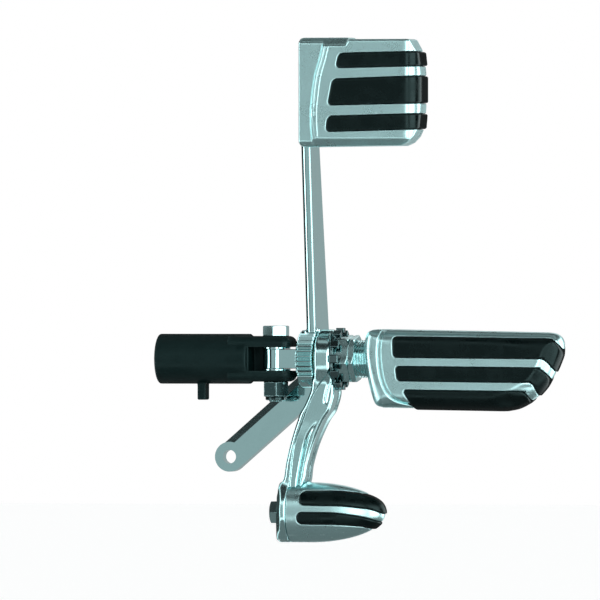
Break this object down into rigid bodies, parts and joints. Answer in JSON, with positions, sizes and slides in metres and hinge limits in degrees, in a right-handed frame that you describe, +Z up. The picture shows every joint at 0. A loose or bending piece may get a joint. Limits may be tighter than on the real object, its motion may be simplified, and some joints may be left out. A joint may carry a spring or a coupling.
{
  "type": "pair of foot pegs",
  "caption": "Motorbike foot peg and small toe peg on one spindle, with a pedal pad on a lever, held in a black clevis mount; ribbed satin castings with rubber strips.",
  "frame": {"origin": "centre of the mount's inboard end face, where the frame bolt enters", "axes": "+X outboard along the mount and the large peg, +Y forward, away from the rider's boot, +Z up"},
  "size_m": [0.2529, 0.0695, 0.302],
  "materials": {
    "black_paint": "semi-gloss black",
    "chrome": "bright plated",
    "satin_casting": "satin, finely grained",
    "plated_steel": "bright zinc",
    "blackened_steel": "dark oxide",
    "bronze": "oiled bronze",
    "rubber": "smooth moulded"
  },
  "bodies": {
    "mount": {"mount_tube": "black_paint", "clevis_bolt": "plated_steel", "clevis_nut": "blackened_steel", "upper_shim": "plated_steel", "lower_shim": "plated_steel"},
    "spindle": {"eye_spindle": "chrome", "lever_bush": "bronze", "tab_washer": "plated_steel", "spindle_nut": "plated_steel", "lock_nut": "plated_steel", "peg_collar": "blackened_steel", "peg_body": "satin_casting", "peg_tread_upper": "rubber", "peg_tread_middle": "rubber", "peg_tread_lower": "rubber"},
    "pedal": {"pedal_lever": "chrome", "tail_bar": "chrome", "pad_cover": "satin_casting", "pad_plate": "blackened_steel", "pad_screws": "plated_steel", "pad_tread_upper": "rubber", "pad_tread_middle": "rubber", "pad_tread_lower": "rubber"},
    "toe": {"toe_arm": "satin_casting", "toe_peg_body": "satin_casting", "toe_tread_upper": "rubber", "toe_tread_lower": "rubber", "toe_peg_screw": "plated_steel"}
  },
  "joints": [
    {"name": "peg_fold", "type": "hinge", "parent": "mount", "child": "spindle", "pos_m": [0.072, 0, 0], "axis": [0, 0, 1], "range_deg": [0, 50]},
    {"name": "pedal_pivot", "type": "hinge", "parent": "spindle", "child": "pedal", "pos_m": [0.0933, 0, 0], "axis": [-1, 0, 0], "range_deg": [0, 14], "stiffness_Nm_per_rad": 6, "springref_deg": -5.73},
    {"name": "arm_swing", "type": "hinge", "parent": "spindle", "child": "toe", "pos_m": [0.1044, 0, 0], "axis": [1, 0, 0], "range_deg": [-30, 5]}
  ]
}
